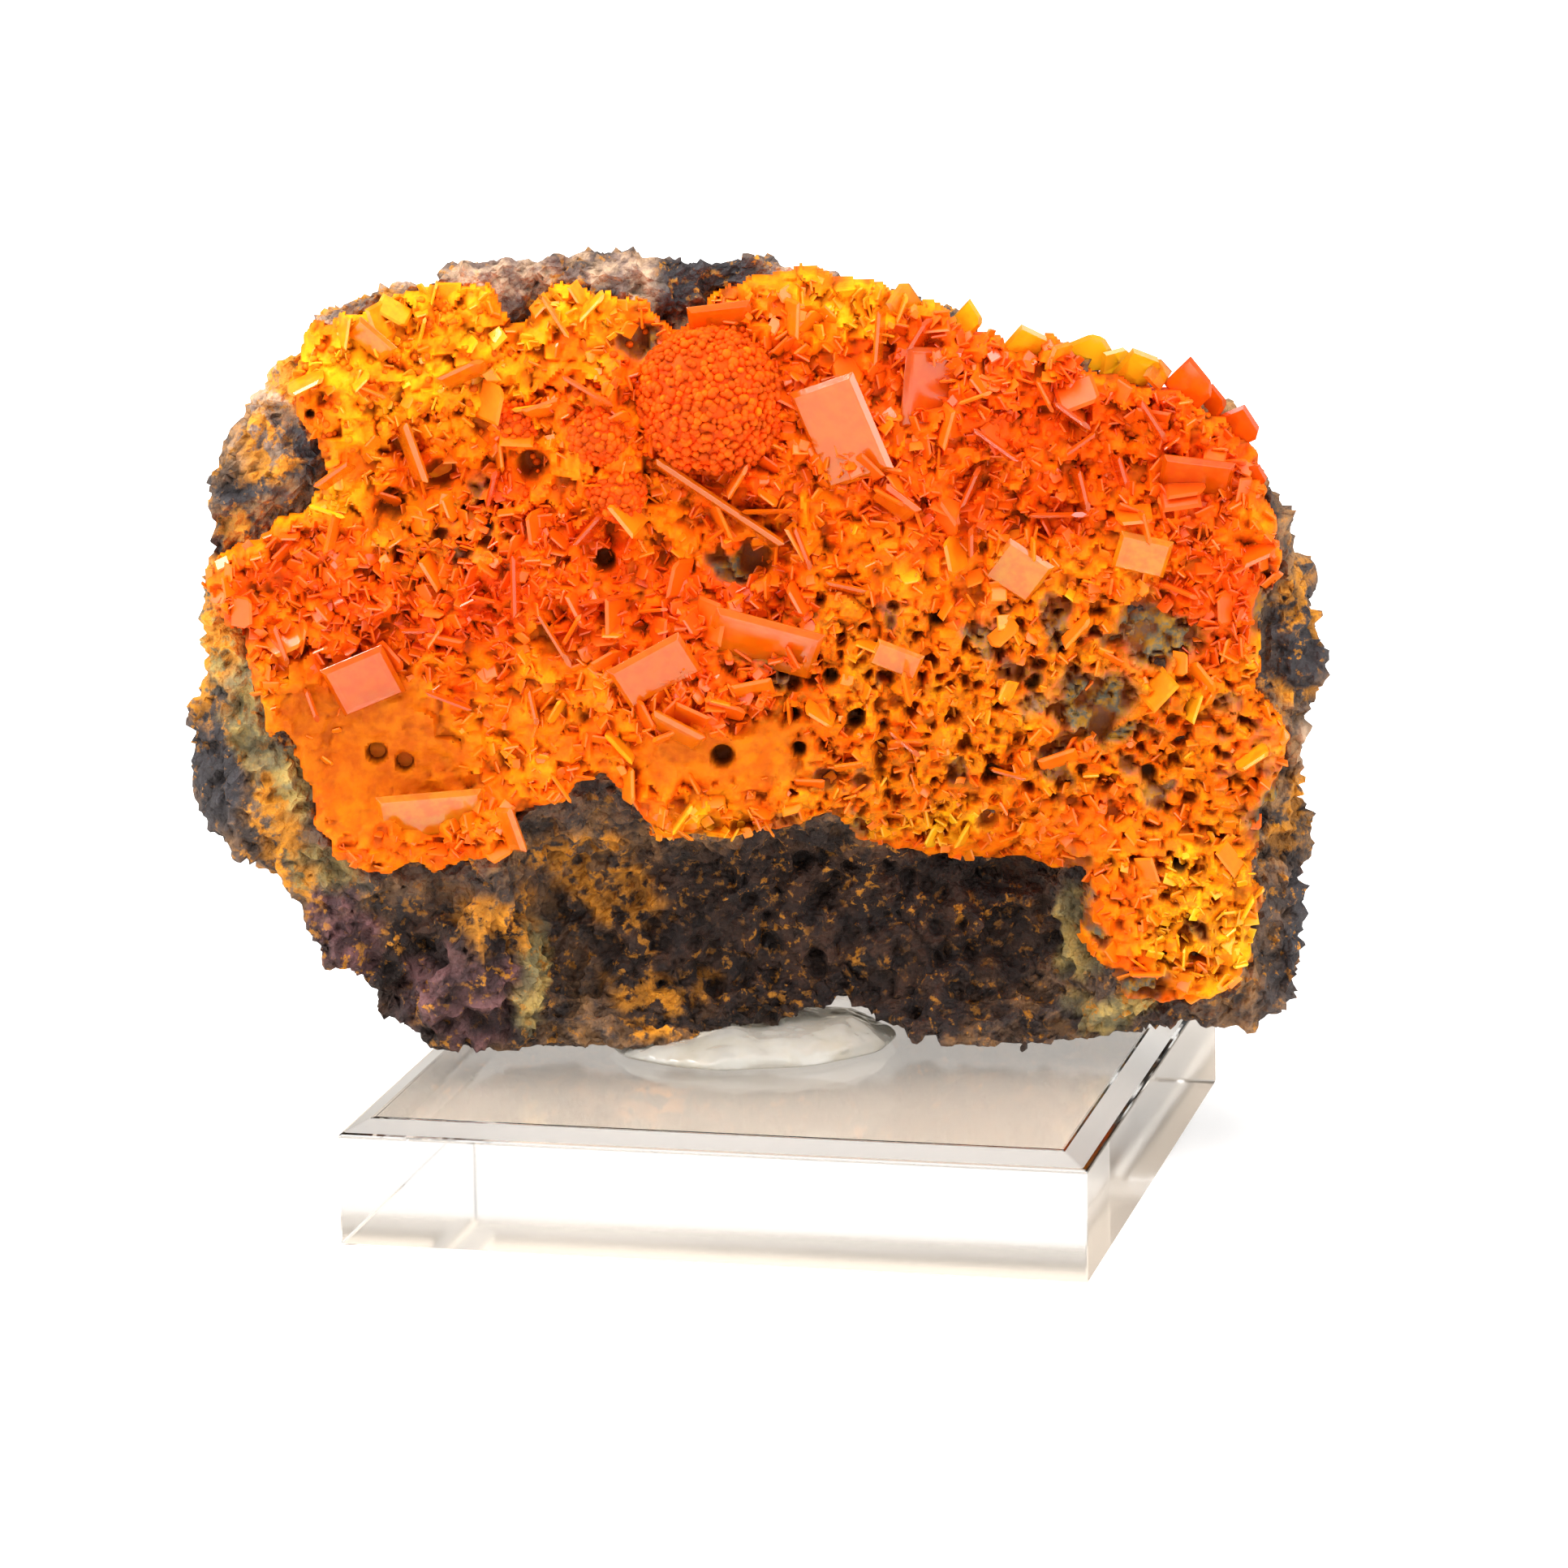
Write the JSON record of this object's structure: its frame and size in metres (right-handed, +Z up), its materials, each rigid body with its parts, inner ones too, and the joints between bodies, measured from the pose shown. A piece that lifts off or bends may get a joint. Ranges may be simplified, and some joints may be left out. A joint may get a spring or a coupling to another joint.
{
  "type": "mineral specimen on a display base",
  "caption": "Orange wulfenite tablets and mimetite crust on dark vuggy rock, tacked to a clear square acrylic base with a bevelled top edge.",
  "frame": {"origin": "centre of the display base's underside", "axes": "+Z up, -Y out of the base's front face on the crystals' side, +X to the right as seen from there, along the specimen's longest side"},
  "size_m": [0.1164, 0.0762, 0.0968],
  "materials": {
    "acrylic": "clear polished acrylic",
    "tack": "clear to cream mounting tack, glossy where it was pressed",
    "matrix": "dull broken gossan, dark brown to purple-grey with ochre specks",
    "mimetite": "waxy orange to amber crust, pitted and granular",
    "wulfenite": "orange-red translucent tablets with a bright lustre"
  },
  "bodies": {
    "root": {"display_base": "acrylic", "mounting_putty": "tack", "matrix_rock": "matrix", "crystal_crust": "mimetite", "wulfenite_tablet_01": "wulfenite", "wulfenite_tablet_02": "wulfenite", "wulfenite_tablet_03": "wulfenite", "wulfenite_tablet_04": "wulfenite", "wulfenite_tablet_05": "wulfenite", "wulfenite_tablet_06": "wulfenite", "wulfenite_tablet_07": "wulfenite", "wulfenite_tablet_08": "wulfenite", "wulfenite_tablet_09": "wulfenite", "wulfenite_tablet_10": "wulfenite", "wulfenite_tablet_11": "wulfenite", "wulfenite_tablet_12": "wulfenite", "wulfenite_tablet_13": "wulfenite", "wulfenite_tablet_14": "wulfenite", "wulfenite_tablet_15": "wulfenite", "wulfenite_tablet_16": "wulfenite", "wulfenite_tablet_17": "wulfenite"}
  },
  "joints": []
}
